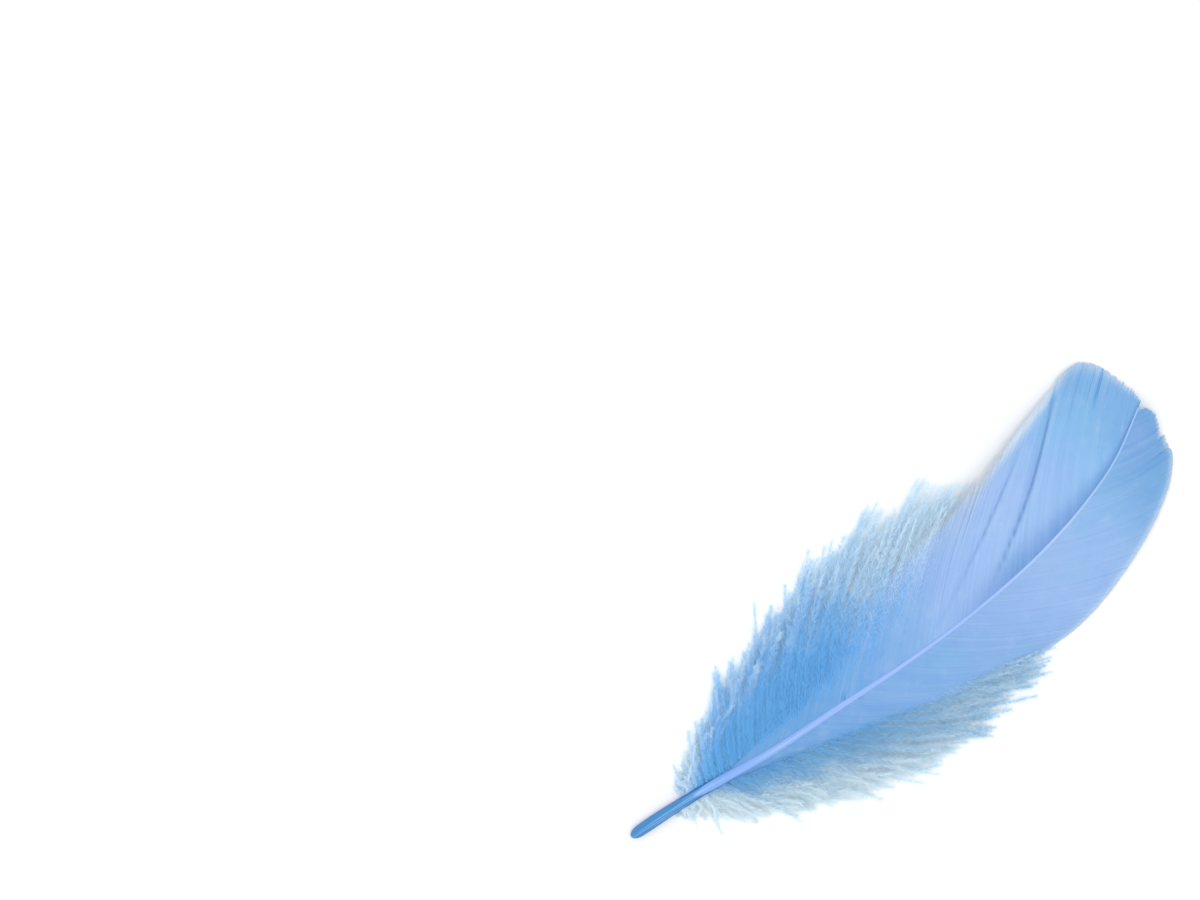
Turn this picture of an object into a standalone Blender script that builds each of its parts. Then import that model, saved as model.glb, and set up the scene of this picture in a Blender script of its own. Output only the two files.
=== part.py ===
"""One dyed goose feather, lying on a flat surface with its upper side up.

The feather grew as one piece, so it is one solid: a bare quill that tapers into the shaft,
a closed vane on each side of it, and the loose locks of down round its base.
Lengths are in millimetres until a mesh is made. +Y runs from the quill's end to the
feather's tip, +X is the side of the fuller down, +Z is up, and the surface is at z = 0.
"""

import math

import bpy
import numpy as np

MM = 0.001  # metres in a millimetre

# The middle of the outline, seen from above, which becomes the origin.
MIDDLE = (5.9, 72.4)

# Shaft: station along Y, then x and z of its centre line. The quill lies along the surface.
SHAFT_LINE = (
    (0.0, 0.35, 1.16),
    (9.0, 1.3, 1.24),
    (18.0, 2.6, 1.07),
    (35.0, 5.7, 2.5),
    (52.0, 7.6, 4.5),
    (72.0, 9.7, 6.7),
    (90.0, 10.5, 7.9),
    (107.0, 9.9, 8.0),
    (120.0, 8.1, 6.9),
    (132.0, 4.9, 5.2),
    (142.8, -0.2, 3.0),
)
# Shaft: station, half width. The quill's end is rounded off by END_ROUND.
SHAFT_HALF_WIDTH = (
    (0.0, 1.2),
    (5.0, 1.36),
    (10.0, 1.3),
    (18.0, 1.12),
    (25.0, 1.05),
    (33.0, 0.95),
    (45.0, 0.8),
    (60.0, 0.68),
    (75.0, 0.6),
    (90.0, 0.5),
    (105.0, 0.43),
    (120.0, 0.36),
    (142.8, 0.28),
)
END_ROUND = 2.2
SHAFT_RINGS = 29
SHAFT_SIDES = 12
SHAFT_END = SHAFT_LINE[-1][0]

# Vanes: station of a barb's root on the shaft, then x, y and z of the barb's tip on the outline.
RIGHT_VANE = (
    (24.0, 7.9, 34.0, 1.2),
    (32.0, 13.0, 47.0, 1.0),
    (40.0, 17.5, 57.0, 0.9),
    (50.0, 22.0, 69.0, 0.7),
    (60.0, 25.2, 81.0, 0.5),
    (70.0, 27.0, 93.0, 0.25),
    (80.0, 27.6, 104.0, 0.15),
    (90.0, 25.8, 115.0, 0.4),
    (100.0, 22.6, 125.5, 0.8),
    (108.0, 19.6, 132.5, 0.8),
    (115.0, 16.4, 138.0, 0.5),
    (122.0, 12.6, 142.0, 0.15),
    (129.0, 9.0, 143.2, 0.4),
    (135.0, 5.6, 144.2, 1.2),
    (140.0, 2.4, 144.9, 2.2),
    (141.8, 0.9, 144.3, 2.8),
)
LEFT_VANE = (
    (24.0, 1.9, 37.0, 1.2),
    (32.0, -1.2, 51.0, 1.3),
    (40.0, -4.5, 62.0, 1.6),
    (50.0, -7.8, 76.0, 2.2),
    (60.0, -9.5, 88.0, 2.9),
    (70.0, -10.6, 100.0, 3.6),
    (80.0, -12.2, 112.0, 4.0),
    (90.0, -14.2, 124.0, 3.4),
    (100.0, -16.3, 135.0, 1.8),
    (108.0, -15.8, 139.2, 0.8),
    (115.0, -13.5, 141.6, 0.3),
    (122.0, -10.2, 143.1, 0.15),
    (129.0, -6.8, 144.2, 0.5),
    (135.0, -3.8, 144.7, 1.4),
    (140.0, -1.4, 144.5, 2.4),
    (141.8, -1.0, 144.3, 2.8),
)
VANE_THICKNESS = (0.4, 0.3)  # at the shaft, at the edge
VANE_STATIONS = 45
VANE_STEPS = 7  # along a barb
VANE_CROSSING = 0.1  # how far each vane's root lies past the shaft's centre line
BARB_BEND = 11.0  # degrees that a barb leaves the shaft more steeply than its chord
BARB_BEND_AT = 0.42  # where along the chord the bend is pulled out
RIGHT_DROOP = 1.8  # power of the fall from shaft to edge: the right vane is crowned
LEFT_DROOP = 0.9  # and the left one falls away beside the shaft
TOOTH = 0.025  # share of a barb's length that every second one ends short at the tip
TEETH_FROM = 104.0
TEETH_FULL = 122.0

# The fold in the left vane: station of each crease at the shaft and at the edge, depth and
# half width.
CREASES = ((91.5, 98.5, 0.9, 2.6), (75.0, 81.0, 0.5, 2.4))

# Down: station of a lock's root, then x and y of its tip.
RIGHT_DOWN = (
    (15.5, 6.9, 14.0),
    (18.0, 13.5, 20.5),
    (22.0, 19.0, 30.0),
    (27.0, 24.0, 40.0),
    (33.0, 29.0, 51.0),
    (39.0, 32.4, 62.0),
    (45.0, 34.0, 73.0),
    (51.0, 33.2, 84.0),
    (57.0, 31.0, 94.0),
)
LEFT_DOWN = (
    (15.5, -3.0, 15.5),
    (18.0, -7.6, 23.0),
    (22.0, -12.2, 33.5),
    (27.0, -16.0, 45.0),
    (33.0, -19.0, 57.0),
    (39.0, -21.2, 69.0),
    (45.0, -22.2, 80.0),
    (51.0, -21.4, 90.0),
    (57.0, -18.6, 98.0),
)
LOCKS_A_LAYER = 12
# Each layer, both under the vanes: how far below the shaft's centre line its locks start, how
# far their middles sag, the height of their tips and the share of their reach.
DOWN_LAYERS = ((0.6, 0.5, 0.35, 1.0), (0.4, 0.3, 1.2, 0.86))
SHORT_LOCK = 0.88  # every second lock is this much of its neighbours' reach
LOCK_HALF_WIDTH = (0.45, 1.8, 1.9, 1.35, 0.6)  # along a lock, before its point
LOCK_HALF_DEPTH = (0.3, 0.5, 0.5, 0.4, 0.25)
LOCK_BEND = 14.0
LOCK_BEND_AT = 0.45

BLUE = (0.27, 0.5, 0.84, 1.0)


def smooth_through(table, at):
    """Values on a curve through the table's rows, whose first column is the place along it.

    Between two rows the curve is a cubic whose slope at each row follows the neighbours'.
    """
    rows = np.array(table, float)
    at = np.atleast_1d(np.asarray(at, float))
    place, value = rows[:, 0], rows[:, 1:]
    slope = np.gradient(value, place, axis=0)
    left = np.clip(np.searchsorted(place, at, side="right") - 1, 0, len(place) - 2)
    span = (place[left + 1] - place[left])[:, None]
    t = ((at - place[left])[:, None]) / span
    start, end = value[left], value[left + 1]
    leaving, arriving = slope[left] * span, slope[left + 1] * span
    return (
        start * (2 * t**3 - 3 * t**2 + 1)
        + leaving * (t**3 - 2 * t**2 + t)
        + end * (3 * t**2 - 2 * t**3)
        + arriving * (t**3 - t**2)
    )


def shaft_points(stations):
    """Centre line of the shaft at these stations: x, y and z."""
    across_and_up = smooth_through(SHAFT_LINE, stations)
    return np.column_stack((across_and_up[:, 0], stations, across_and_up[:, 1]))


def shaft_half_widths(stations):
    """Half the shaft's width, with the quill's end closed as a quarter of an ellipse."""
    width = smooth_through(SHAFT_HALF_WIDTH, stations)[:, 0]
    inside = np.clip((END_ROUND - np.asarray(stations)) / END_ROUND, 0.0, 1.0)
    return width * np.sqrt(1.0 - inside**2)


def turned(vectors, degrees):
    """Vectors in the plane, turned anticlockwise."""
    c, s = math.cos(math.radians(degrees)), math.sin(math.radians(degrees))
    return np.column_stack(
        (vectors[:, 0] * c - vectors[:, 1] * s, vectors[:, 0] * s + vectors[:, 1] * c)
    )


def bent_lines(roots, tips, side, bend_degrees, bend_at, steps):
    """Points in the plane along one curve for each root and tip: a quadratic Bezier curve,
    whose middle handle is pulled away from the feather's tip. side is 1 right and -1 left."""
    chord = tips - roots
    handle = roots + bend_at * turned(chord, -side * bend_degrees)
    t = steps[None, :, None]
    return (
        roots[:, None] * (1 - t) ** 2
        + handle[:, None] * 2 * t * (1 - t)
        + tips[:, None] * t**2
    )


def smooth_step(value, low, high):
    """0 below low, 1 above high, and an S-shaped rise between."""
    t = np.clip((value - low) / (high - low), 0.0, 1.0)
    return t * t * (3 - 2 * t)


def mesh_object(name, points, faces, material):
    """A mesh object in the scene from points in millimetres, moved so that MIDDLE is the origin.

    Each face goes in as a fan of triangles, so that a twisted one is still made of flat pieces.
    """
    mesh = bpy.data.meshes.new(name)
    placed = (np.asarray(points) - (*MIDDLE, 0.0)) * MM
    fans = [(face[0], *pair) for face in faces for pair in zip(face[1:], face[2:])]
    mesh.from_pydata(placed.tolist(), [], fans)
    mesh.materials.append(material)
    mesh.shade_smooth()
    mesh.set_sharp_from_angle(angle=math.radians(50))
    made = bpy.data.objects.new(name, mesh)
    bpy.context.scene.collection.objects.link(made)
    return made


def ring_faces(rings, sides):
    """Quads between neighbouring rings of points, with a polygon over each end."""
    faces = [
        (
            r * sides + k,
            r * sides + (k + 1) % sides,
            (r + 1) * sides + (k + 1) % sides,
            (r + 1) * sides + k,
        )
        for r in range(rings - 1)
        for k in range(sides)
    ]
    last = (rings - 1) * sides
    return [tuple(reversed(range(sides))), *faces, tuple(range(last, last + sides))]


def shaft(material):
    """The quill and shaft: rings of twelve points along the centre line. A side of each ring
    faces down, and no point is lower than the surface, so the quill rests on a narrow flat."""
    first = 0.06
    near_end = first + (END_ROUND - first) * np.linspace(0, 1, 6) ** 2
    along = np.linspace(END_ROUND, SHAFT_END, SHAFT_RINGS)[1:]
    stations = np.concatenate((near_end, along))
    centres = shaft_points(stations)
    half = shaft_half_widths(stations)
    heading = np.gradient(centres, stations, axis=0)
    across = np.column_stack((heading[:, 1], -heading[:, 0], np.zeros(len(stations))))
    across /= np.linalg.norm(across, axis=1)[:, None]
    angle = (np.arange(SHAFT_SIDES) + 0.5) * 2 * math.pi / SHAFT_SIDES
    up = np.array((0.0, 0.0, 1.0))
    points = (
        centres[:, None]
        + across[:, None] * (half[:, None] * np.cos(angle))[..., None]
        + up * (half[:, None] * np.sin(angle))[..., None]
    )
    points[..., 2] = np.maximum(points[..., 2], 0.0)
    # Seen along +Y the points run anticlockwise from above the right side, so the faces turn out.
    faces = [tuple(reversed(f)) for f in ring_faces(len(stations), SHAFT_SIDES)]
    return mesh_object("feather", points.reshape(-1, 3), faces, material)


def vane(name, table, side, droop, creases, material):
    """One closed vane as a thin plate. Its rows are barbs: each leaves the shaft and bends
    towards the feather's tip, and falls from the shaft's height to its own tip's."""
    stations = np.linspace(table[0][0], table[-1][0], VANE_STATIONS)
    root = shaft_points(stations)
    root[:, 0] -= side * VANE_CROSSING
    tip = smooth_through(table, stations)
    steps = np.linspace(0, 1, VANE_STEPS)
    short = TOOTH * (np.arange(VANE_STATIONS) % 2)
    short = short * smooth_step(stations, TEETH_FROM, TEETH_FULL)
    plan = bent_lines(root[:, :2], tip[:, :2], side, BARB_BEND, BARB_BEND_AT, steps)
    plan[:, -1] -= (plan[:, -1] - plan[:, -2]) * (short * VANE_STEPS)[:, None]
    height = root[:, 2:3] + (tip[:, 2:3] - root[:, 2:3]) * steps[None] ** droop
    for at_shaft, at_edge, depth, half_width in creases:
        off = stations[:, None] - (at_shaft + (at_edge - at_shaft) * steps[None])
        valley = np.exp(-((off / half_width) ** 2))
        height -= depth * valley * np.sin(math.pi * steps[None] ** 0.8)
    thickness = np.interp(steps, (0, 1), VANE_THICKNESS)[None]
    height = np.maximum(height, thickness / 2)
    top = np.dstack((plan, height + thickness / 2)).reshape(-1, 3)
    bottom = np.dstack((plan, height - thickness / 2)).reshape(-1, 3)
    return mesh_object(
        name,
        np.concatenate((top, bottom)),
        plate_faces(VANE_STATIONS, VANE_STEPS, side),
        material,
    )


def plate_faces(rows, columns, side):
    """Faces of a closed plate: a grid on top, the same grid below it, and the four edges."""
    below = rows * columns
    faces = []
    for r in range(rows - 1):
        for c in range(columns - 1):
            a, b = r * columns + c, r * columns + c + 1
            d, e = a + columns, b + columns
            faces.append((a, b, e, d))
            faces.append((a + below, d + below, e + below, b + below))
    rim = [c for c in range(columns)]
    rim += [r * columns + columns - 1 for r in range(1, rows)]
    rim += [(rows - 1) * columns + c for c in range(columns - 2, -1, -1)]
    rim += [r * columns for r in range(rows - 2, 0, -1)]
    for a, b in zip(rim, rim[1:] + rim[:1]):
        faces.append((a, a + below, b + below, b))
    return faces if side > 0 else [tuple(reversed(f)) for f in faces]


def lock(name, root, tip, side, sag, material):
    """One lock of down: a flat tapered body from inside the shaft out to a point."""
    rings = len(LOCK_HALF_WIDTH)
    steps = np.linspace(0, 1, rings + 1)
    line = bent_lines(root[None, :2], tip[None, :2], side, LOCK_BEND, LOCK_BEND_AT, steps)[0]
    height = root[2] + (tip[2] - root[2]) * steps - sag * np.sin(math.pi * steps)
    heading = np.gradient(line, axis=0)
    across = np.column_stack((heading[:, 1], -heading[:, 0]))
    across /= np.linalg.norm(across, axis=1)[:, None]
    points = []
    for i, (wide, deep) in enumerate(zip(LOCK_HALF_WIDTH, LOCK_HALF_DEPTH)):
        centre_z = max(height[i], deep)
        for out, up in ((1, 0), (0, 1), (-1, 0), (0, -1)):
            x, y = line[i] + across[i] * wide * out
            points.append((x, y, centre_z + deep * up))
    points.append((*line[-1], max(height[-1], LOCK_HALF_DEPTH[-1])))
    faces = [tuple(reversed(f)) for f in ring_faces(rings, 4)[:-1]]
    last, point = (rings - 1) * 4, rings * 4
    faces += [(last + (k + 1) % 4, last + k, point) for k in range(4)]
    return mesh_object(name, points, faces, material)


def down(table, side, material):
    """Both layers of down on one side, one object for each lock."""
    locks = []
    stations = np.linspace(table[0][0], table[-1][0], LOCKS_A_LAYER)
    for layer, (below, sag, tip_z, reach) in enumerate(DOWN_LAYERS):
        shifted = np.clip(stations + 0.5 * layer, None, table[-1][0])
        roots = shaft_points(shifted) - (0.0, 0.0, below)
        tips = smooth_through(table, shifted)
        for i, (root, tip) in enumerate(zip(roots, tips)):
            share = reach * (SHORT_LOCK if i % 2 else 1.0)
            end = np.array((*(root[:2] + (tip - root[:2]) * share), tip_z))
            name = f"lock_{'right' if side > 0 else 'left'}_{layer}_{i:02d}"
            locks.append(lock(name, root, end, side, sag, material))
    return locks


def feather_material():
    """Matt dyed keratin, paler than the quill's own blue."""
    material = bpy.data.materials.new("feather")
    material.use_nodes = True
    shader = material.node_tree.nodes["Principled BSDF"]
    shader.inputs["Base Color"].default_value = BLUE
    shader.inputs["Roughness"].default_value = 0.55
    shader.inputs["Metallic"].default_value = 0.0
    return material


def join_all(body, pieces):
    """Unites the pieces with the body. They stay in the file as hidden operands."""
    operands = bpy.data.collections.new("grown_on_shaft")
    bpy.context.scene.collection.children.link(operands)
    operands.hide_render = True
    for piece in pieces:
        bpy.context.scene.collection.objects.unlink(piece)
        operands.objects.link(piece)
        piece.hide_render = True
        piece.display_type = "WIRE"
    union = body.modifiers.new("grown together", "BOOLEAN")
    union.operation = "UNION"
    union.solver = "MANIFOLD"
    union.operand_type = "COLLECTION"
    union.collection = operands


def main():
    for old in list(bpy.data.objects):
        bpy.data.objects.remove(old)
    material = feather_material()
    body = shaft(material)
    pieces = [
        vane("vane_right", RIGHT_VANE, 1, RIGHT_DROOP, (), material),
        vane("vane_left", LEFT_VANE, -1, LEFT_DROOP, CREASES, material),
        *down(RIGHT_DOWN, 1, material),
        *down(LEFT_DOWN, -1, material),
    ]
    join_all(body, pieces)


main()
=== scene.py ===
# %% [markdown]
# # A dyed goose feather, lying down
# A feather grows as one piece of keratin. It has a bare quill, the shaft that the quill tapers
# into, a closed vane of hooked barbs on each side, and loose down round its base.
# The plain solid of that form comes from the frame and stays for collision. The surfaces here
# stand in its place, barb by barb. They are worked out with numpy as whole arrays, because
# hair systems don't survive an export and modelling a thousand barbs by hand is hopeless.

# %% The frame and the units
import math

import bpy
import numpy as np
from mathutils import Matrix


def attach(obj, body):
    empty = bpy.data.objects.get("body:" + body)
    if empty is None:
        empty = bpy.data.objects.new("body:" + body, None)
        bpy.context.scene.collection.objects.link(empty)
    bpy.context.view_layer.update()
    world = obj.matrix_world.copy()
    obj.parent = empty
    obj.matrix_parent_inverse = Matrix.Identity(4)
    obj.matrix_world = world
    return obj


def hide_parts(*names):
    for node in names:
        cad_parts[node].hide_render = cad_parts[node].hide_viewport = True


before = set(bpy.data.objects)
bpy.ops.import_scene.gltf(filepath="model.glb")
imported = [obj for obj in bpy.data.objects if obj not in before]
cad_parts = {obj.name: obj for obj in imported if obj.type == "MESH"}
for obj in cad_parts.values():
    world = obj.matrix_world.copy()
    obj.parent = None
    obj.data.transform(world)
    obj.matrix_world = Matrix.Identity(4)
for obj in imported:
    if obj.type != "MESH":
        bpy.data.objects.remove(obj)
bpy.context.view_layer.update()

MM = 0.001  # metres in a millimetre
MIDDLE = (5.9, 72.4)  # the outline's middle, which the frame has as its origin

# %% [markdown]
# ## The shaft's line
# On the real feather the shaft leaves the surface where the quill ends, arches up, bends to one
# side and comes down to the notch at the tip. A Bezier curve object could hold that line. Here
# it is a table of a few places with a smooth curve through them, because every barb also has to
# ask where the shaft is, and a function answers for a whole array at once.

# %% Smooth curves through a few named places
SHAFT_LINE = (  # station along the feather, then x and z of the centre line
    (0.0, 0.35, 1.16), (9.0, 1.3, 1.24), (18.0, 2.6, 1.07), (35.0, 5.7, 2.5), (52.0, 7.6, 4.5),
    (72.0, 9.7, 6.7), (90.0, 10.5, 7.9), (107.0, 9.9, 8.0), (120.0, 8.1, 6.9),
    (132.0, 4.9, 5.2), (142.8, -0.2, 3.0),
)
SHAFT_HALF_WIDTH = (  # station, half width
    (0.0, 1.2), (5.0, 1.36), (10.0, 1.3), (18.0, 1.12), (25.0, 1.05), (33.0, 0.95),
    (45.0, 0.8), (60.0, 0.66), (75.0, 0.54), (90.0, 0.43), (105.0, 0.35), (120.0, 0.29),
    (142.8, 0.24),
)
END_ROUND = 2.2  # length of the quill's rounded end
SHAFT_END = SHAFT_LINE[-1][0]


def smooth_through(table, at):
    """Values on a smooth curve through the table's rows, for an array of places of any shape.

    Between two rows it is the cubic (2t^3-3t^2+1) a + (t^3-2t^2+t) p + (3t^2-2t^3) b
    + (t^3-t^2) q, where a and b are the rows' values and p and q their slopes.
    """
    rows = np.array(table, float)
    at = np.asarray(at, float)
    place, value = rows[:, 0], rows[:, 1:]
    slope = np.gradient(value, place, axis=0)
    left = np.clip(np.searchsorted(place, at, side="right") - 1, 0, len(place) - 2)
    span = (place[left + 1] - place[left])[..., None]
    t = (at - place[left])[..., None] / span
    return (
        value[left] * (2 * t**3 - 3 * t**2 + 1)
        + slope[left] * span * (t**3 - 2 * t**2 + t)
        + value[left + 1] * (3 * t**2 - 2 * t**3)
        + slope[left + 1] * span * (t**3 - t**2)
    )


def shaft_points(station):
    """Centre line of the shaft: x and z from the table, and the station itself as y."""
    across_up = smooth_through(SHAFT_LINE, station)
    return np.stack((across_up[..., 0], np.asarray(station, float), across_up[..., 1]), -1)


def smooth_step(value, low, high):
    """0 below low, 1 above high, and 3t^2 - 2t^3 between."""
    t = np.clip((value - low) / (high - low), 0.0, 1.0)
    return t * t * (3 - 2 * t)


def unit(vectors):
    """Each vector over its own length."""
    return vectors / np.linalg.norm(vectors, axis=-1, keepdims=True)


top = SHAFT_LINE[int(np.argmax([row[2] for row in SHAFT_LINE]))]
print("shaft rises to", top[2], "mm at station", top[0])

# %% [markdown]
# ## From arrays to a mesh
# Blender's own way into a mesh from arrays is foreach_set: it copies a flat array of numbers
# straight into the points, the corners and the faces. It is far faster than making vertices one
# by one. Every strand here is a closed tube that narrows to one end point, so one function for
# its faces serves the barbs, the down and each single hair of the down.


# %% Helpers for meshes
SHARP = 60.0  # degrees between two faces from which their edge stays sharp


def strand_faces(strands, rings, sides):
    """Corners of closed tapering tubes: quads between the rings, a fan at the end, a root cap.

    Point k of ring r of strand n has index (n * rings + r) * sides + k. The end points, one a
    strand, follow after all rings. With one ring a strand is a spike.
    """
    n = np.arange(strands)[:, None, None] * rings * sides
    r = np.arange(rings - 1)[None, :, None] * sides
    k = np.arange(sides)[None, None, :]
    after = (k + 1) % sides
    here = n + r
    quads = np.stack((here + k, here + after, here + sides + after, here + sides + k), -1)
    last = n[:, 0] + (rings - 1) * sides
    end = strands * rings * sides + np.arange(strands)[:, None] + 0 * k[0]
    fans = np.stack((last + k[0], last + after[0], end), -1)
    roots = n[:, 0] + k[0, :, ::-1]
    return [quads.reshape(-1, 4), fans.reshape(-1, 3), roots.reshape(-1, sides)]


def signed_volume(points, faces):
    """Sum of a . (b x c) / 6 over each face's fan of triangles: positive if faces point out."""
    total = 0.0
    for group in faces:
        for c in range(1, group.shape[1] - 1):
            a, b, d = points[group[:, 0]], points[group[:, c]], points[group[:, c + 1]]
            total += np.einsum("ij,ij->", a, np.cross(b, d)) / 6
    return total


def mesh_piece(name, points, faces, uv, tint, material, around=False):
    """One mesh object from arrays in millimetres, its place in its mesh.

    faces is a list of integer arrays, one row of corners a face. uv has two numbers a point and
    tint has one. Where around is true, v runs round a tube, and a face that crosses the seam
    counts on past 1.
    """
    if signed_volume(points, faces) < 0:
        faces = [group[:, ::-1] for group in faces]
    corners = np.concatenate([group.ravel() for group in faces])
    sizes = np.concatenate([np.full(len(group), group.shape[1]) for group in faces])
    corner_uv = uv[corners].copy()
    if around:
        starts = np.concatenate(([0], np.cumsum(sizes)[:-1]))
        highest = np.repeat(np.maximum.reduceat(corner_uv[:, 1], starts), sizes)
        corner_uv[:, 1] += highest - corner_uv[:, 1] > 0.5
    mesh = bpy.data.meshes.new(name)
    mesh.vertices.add(len(points))
    mesh.vertices.foreach_set("co", ((points - (*MIDDLE, 0.0)) * MM).ravel())
    mesh.loops.add(len(corners))
    mesh.loops.foreach_set("vertex_index", corners.astype(np.int32))
    mesh.polygons.add(len(sizes))
    mesh.polygons.foreach_set("loop_start", (np.cumsum(sizes) - sizes).astype(np.int32))
    mesh.update(calc_edges=True)
    mesh.uv_layers.new(name="along").uv.foreach_set("vector", corner_uv.ravel())
    mesh.attributes.new("tint", "FLOAT", "POINT").data.foreach_set("value", tint.ravel())
    mesh.materials.append(material)
    mesh.shade_smooth()
    mesh.set_sharp_from_angle(angle=math.radians(SHARP))
    made = bpy.data.objects.new(name, mesh)
    bpy.context.scene.collection.objects.link(made)
    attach(made, "root")
    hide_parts("feather")
    print(name, "has", int((sizes - 2).sum()), "triangles")


tube = strand_faces(1, 2, 3)
print("quads, end fans and root caps of a tube of 2 rings:", [len(group) for group in tube])

# %% [markdown]
# ## Nodes for the finishes
# A finish on the real feather is dye that took unevenly: it changes slowly along the feather,
# in soft patches, and from barb to barb. Image textures could show that, and so can a few
# procedural nodes, which stay sharp at any distance. These helpers keep the node trees short.


# %% Helpers for materials
LIGHT = 1.2  # how much brighter than plain white a white thing is in this scene's light


def dye(red, green, blue):
    """A colour named by how it looks in this light on a screen, 0 to 255, as the linear values
    that shaders use: ((v + 0.055) / 1.055)^2.4 over the light."""
    seen = np.array((red, green, blue)) / 255.0
    linear = ((seen + 0.055) / 1.055) ** 2.4 / LIGHT
    return (*linear.tolist(), 1.0)


def finish_named(name, roughness):
    """A new material with its node tree and its Principled shader."""
    material = bpy.data.materials.new(name)
    material.use_nodes = True
    shader = material.node_tree.nodes["Principled BSDF"]
    shader.inputs["Roughness"].default_value = roughness
    return material, material.node_tree, shader


def node(tree, kind, inputs=(), **settings):
    """A node of this kind. Each input is linked if it is given a socket, and else set."""
    made = tree.nodes.new(kind)
    for key, value in settings.items():
        setattr(made, key, value)
    for key, value in dict(inputs).items():
        if isinstance(value, bpy.types.NodeSocket):
            tree.links.new(value, made.inputs[key])
        else:
            made.inputs[key].default_value = value
    return made


def sum_of(tree, a, factor, b):
    """The socket of a * factor + b."""
    return node(tree, "ShaderNodeMath", {0: a, 1: factor, 2: b}, operation="MULTIPLY_ADD").outputs[0]


def mixed(tree, factor, a, b, blend="MIX"):
    """The socket of two colours mixed by a factor."""
    made = node(tree, "ShaderNodeMix", {0: factor, 6: a, 7: b}, data_type="RGBA", blend_type=blend)
    return made.outputs[2]


def ramp(tree, factor, stops):
    """The socket of a colour ramp with (place, colour) stops."""
    made = node(tree, "ShaderNodeValToRGB", {"Fac": factor})
    elements = made.color_ramp.elements
    while len(elements) < len(stops):
        elements.new(0.5)
    for element, (place, colour) in zip(elements, stops):
        element.position = place
        element.color = colour
    return made.outputs["Color"]


def share_of(tree, value, low, high):
    """The socket of how far a value is from low to high, kept within 0 and 1."""
    given = {"Value": value, "From Min": low, "From Max": high}
    return node(tree, "ShaderNodeMapRange", given).outputs["Result"]


def noise(tree, vector, scale, detail=3.0, roughness=0.5):
    """The socket of a noise pattern, 0 to 1."""
    given = {"Vector": vector, "Scale": scale, "Detail": detail, "Roughness": roughness}
    return node(tree, "ShaderNodeTexNoise", given).outputs["Fac"]


print("a middle blue as shaders take it:", [round(v, 3) for v in dye(120, 174, 231)])

# %% [markdown]
# ## The vanes' finish
# The dye is deep blue near the base, periwinkle in the middle and sky blue at the tip, with
# soft patches between, and each barb takes it a little differently. The colour follows the place
# on the object, the streaks follow the barbs, and the attribute tint carries what each barb
# has of its own, along with painted shade in the creases and the furrow beside the shaft and a
# painted highlight just past each crease: 0.5 is plain, more is paler, less is darker. A noise
# only reaches from about 0.3 to 0.7, so a range that ends far past that keeps a pattern faint.

# %% Dyed vanes
RIGHT_DYES = (  # millimetres from the quill's end, and the dye's colour there
    (45.0, (113, 171, 228)), (60.0, (120, 174, 231)), (74.0, (133, 182, 236)),
    (92.0, (147, 186, 238)), (105.0, (158, 194, 244)), (118.0, (152, 193, 243)),
    (126.0, (136, 185, 236)), (135.0, (117, 172, 227)),
)
LEFT_DYES = (
    (45.0, (111, 172, 230)), (60.0, (118, 174, 235)), (74.0, (146, 190, 243)),
    (92.0, (160, 196, 248)), (105.0, (167, 202, 251)), (118.0, (158, 199, 249)),
    (126.0, (147, 198, 248)), (135.0, (131, 187, 239)),
)
LILAC = dye(160, 186, 248)
CLEAR_SKY = dye(142, 198, 240)
PALE_BARB_AND_PAINTED_HIGHLIGHT = dye(216, 234, 252)
DARK_BARB_AND_PAINTED_SHADE = dye(78, 134, 206)
HALF_LENGTH = SHAFT_END / 2 * MM
SLOW_PATCHES = 75.0  # a noise's scale counts per metre, so these are about 13 mm apart
QUICK_PATCHES = 210.0
BARBULES = 9000.0


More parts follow.
